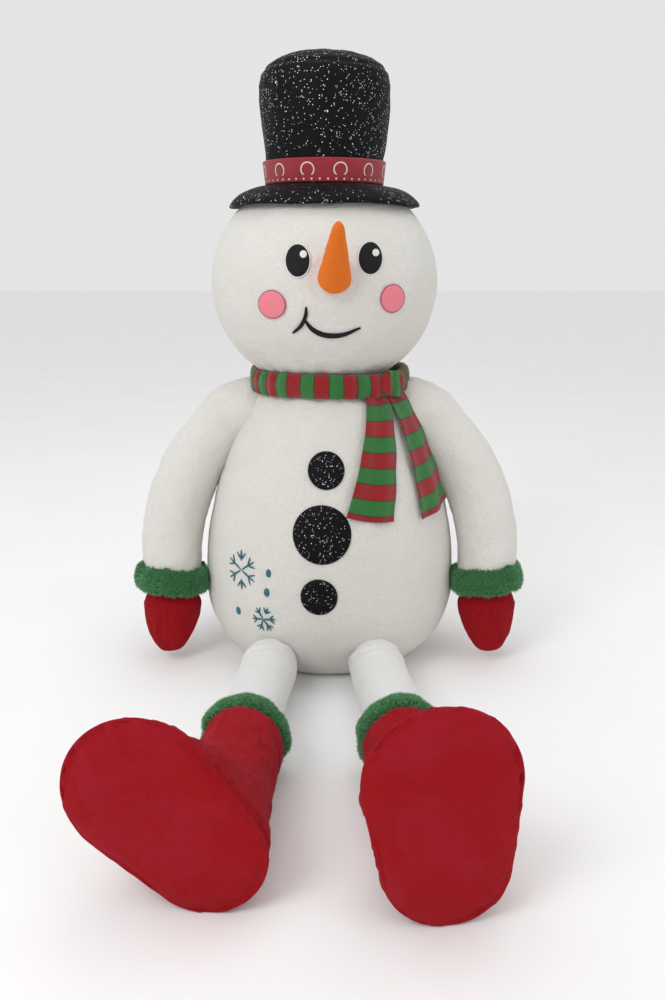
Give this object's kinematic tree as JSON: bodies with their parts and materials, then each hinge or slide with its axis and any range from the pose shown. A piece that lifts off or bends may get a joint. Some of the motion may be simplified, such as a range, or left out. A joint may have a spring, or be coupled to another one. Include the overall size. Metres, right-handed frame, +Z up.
{
  "type": "seated inflatable plush snowman",
  "caption": "Seated snowman with an air-filled torso, stuffed head, limbs and boots, top hat, striped scarf and a back zip.",
  "frame": {"origin": "centre of the torso's flat base panel, on the floor", "axes": "+Z up, the face looks along -Y, the snowman's own left side is +X"},
  "size_m": [1.023, 1.481, 1.5056],
  "materials": {
    "white_plush": "short-pile white plush",
    "base_cloth": "plain woven polyester",
    "polyester_filling": "loose polyester fibre",
    "clear_bladder": "thin flexible vinyl",
    "valve_plastic": "soft moulded vinyl",
    "zip_tape": "woven tape",
    "zip_coil": "nylon coil",
    "zip_metal": "plated zinc",
    "black_glitter_fabric": "black cloth with silver glitter",
    "hat_band_ribbon": "printed woven ribbon",
    "teal_embroidery": "satin stitch thread",
    "striped_scarf": "red and green striped fleece",
    "orange_plush": "orange brushed fabric",
    "black_embroidery": "satin stitch thread",
    "white_embroidery": "satin stitch thread",
    "pink_felt": "pink felt with a stitched edge",
    "green_fur": "long-pile green faux fur",
    "red_mitten_plush": "red short-pile plush",
    "red_boot_plush": "red velvet plush"
  },
  "bodies": {
    "torso": {"torso_cover": "white_plush", "base_panel": "base_cloth", "torso_bladder": "clear_bladder", "valve_body": "valve_plastic", "zip_tape_left": "zip_tape", "zip_tape_right": "zip_tape", "zip_coil": "zip_coil", "zip_stops": "zip_metal", "button_top": "black_glitter_fabric", "button_middle": "black_glitter_fabric", "button_bottom": "black_glitter_fabric", "snowflake_large": "teal_embroidery", "snowflake_small": "teal_embroidery", "snow_dots": "teal_embroidery", "scarf_collar": "striped_scarf", "scarf_knot": "striped_scarf"},
    "head": {"head_skin": "white_plush", "head_filling": "polyester_filling", "nose_skin": "orange_plush", "nose_filling": "polyester_filling", "right_eye": "black_embroidery", "left_eye": "black_embroidery", "eye_glints": "white_embroidery", "right_cheek": "pink_felt", "left_cheek": "pink_felt", "mouth": "black_embroidery", "hat_crown": "black_glitter_fabric", "hat_filling": "polyester_filling", "hat_brim": "black_glitter_fabric", "hat_band": "hat_band_ribbon"},
    "scarf_tail_under": {"scarf_tail_under": "striped_scarf"},
    "scarf_tail_over": {"scarf_tail_over": "striped_scarf"},
    "zip_slider": {"zip_slider": "zip_metal"},
    "zip_pull": {"zip_pull": "zip_metal"},
    "valve_cap": {"valve_cap": "valve_plastic"},
    "left_arm": {"left_arm_skin": "white_plush", "left_arm_filling": "polyester_filling", "left_mitten_skin": "red_mitten_plush", "left_mitten_filling": "polyester_filling", "left_arm_cuff": "green_fur"},
    "left_leg": {"left_leg_skin": "white_plush", "left_leg_filling": "polyester_filling"},
    "left_boot": {"left_boot_upper": "red_boot_plush", "left_boot_filling": "polyester_filling", "left_boot_sole": "red_boot_plush", "left_boot_cuff": "green_fur"},
    "right_arm": {"right_arm_skin": "white_plush", "right_arm_filling": "polyester_filling", "right_mitten_skin": "red_mitten_plush", "right_mitten_filling": "polyester_filling", "right_arm_cuff": "green_fur"},
    "right_leg": {"right_leg_skin": "white_plush", "right_leg_filling": "polyester_filling"},
    "right_boot": {"right_boot_upper": "red_boot_plush", "right_boot_filling": "polyester_filling", "right_boot_sole": "red_boot_plush", "right_boot_cuff": "green_fur"}
  },
  "joints": [
    {"name": "neck_turn", "type": "hinge", "parent": "torso", "child": "head", "pos_m": [-0.012, 0, 0.757], "axis": [0, 0, 1], "range_deg": [-30, 30]},
    {"name": "left_shoulder_swing", "type": "hinge", "parent": "torso", "child": "left_arm", "pos_m": [0.236, 0, 0.622], "axis": [-1, 0, 0], "range_deg": [0, 95]},
    {"name": "right_shoulder_swing", "type": "hinge", "parent": "torso", "child": "right_arm", "pos_m": [-0.236, 0, 0.622], "axis": [-1, 0, 0], "range_deg": [0, 95]},
    {"name": "left_hip_lift", "type": "hinge", "parent": "torso", "child": "left_leg", "pos_m": [0.114, -0.315, 0.072], "axis": [-1, 0, 0], "range_deg": [0, 10]},
    {"name": "left_ankle_roll", "type": "hinge", "parent": "left_leg", "child": "left_boot", "pos_m": [0.114, -0.315, 0.072], "axis": [-0.0978, 0.9942, -0.044], "range_deg": [-20, 65]},
    {"name": "right_hip_lift", "type": "hinge", "parent": "torso", "child": "right_leg", "pos_m": [-0.146, -0.315, 0.072], "axis": [-1, 0, 0], "range_deg": [0, 10]},
    {"name": "right_ankle_roll", "type": "hinge", "parent": "right_leg", "child": "right_boot", "pos_m": [-0.146, -0.315, 0.072], "axis": [-0.0751, -0.9961, 0.0458], "range_deg": [-25, 32]},
    {"name": "scarf_tail_under_swing", "type": "hinge", "parent": "torso", "child": "scarf_tail_under", "pos_m": [0.12566, -0.14976, 0.706], "axis": [-0.766, -0.6428, 0], "range_deg": [0, 20]},
    {"name": "scarf_tail_over_swing", "type": "hinge", "parent": "torso", "child": "scarf_tail_over", "pos_m": [0.16579, -0.1036, 0.706], "axis": [-0.5299, -0.848, 0], "range_deg": [0, 20]},
    {"name": "zip_slide", "type": "hinge", "parent": "torso", "child": "zip_slider", "pos_m": [0, -0.666, 0.19], "axis": [1, 0, 0], "range_deg": [0, 21]},
    {"name": "zip_pull_swing", "type": "hinge", "parent": "zip_slider", "child": "zip_pull", "pos_m": [0, 0.34022, 0.20873], "axis": [1, 0, 0], "range_deg": [0, 150]},
    {"name": "valve_cap_turn", "type": "hinge", "parent": "torso", "child": "valve_cap", "pos_m": [0, 0.3, 0.15], "axis": [0, 1, 0], "range_deg": [0, 180]}
  ]
}
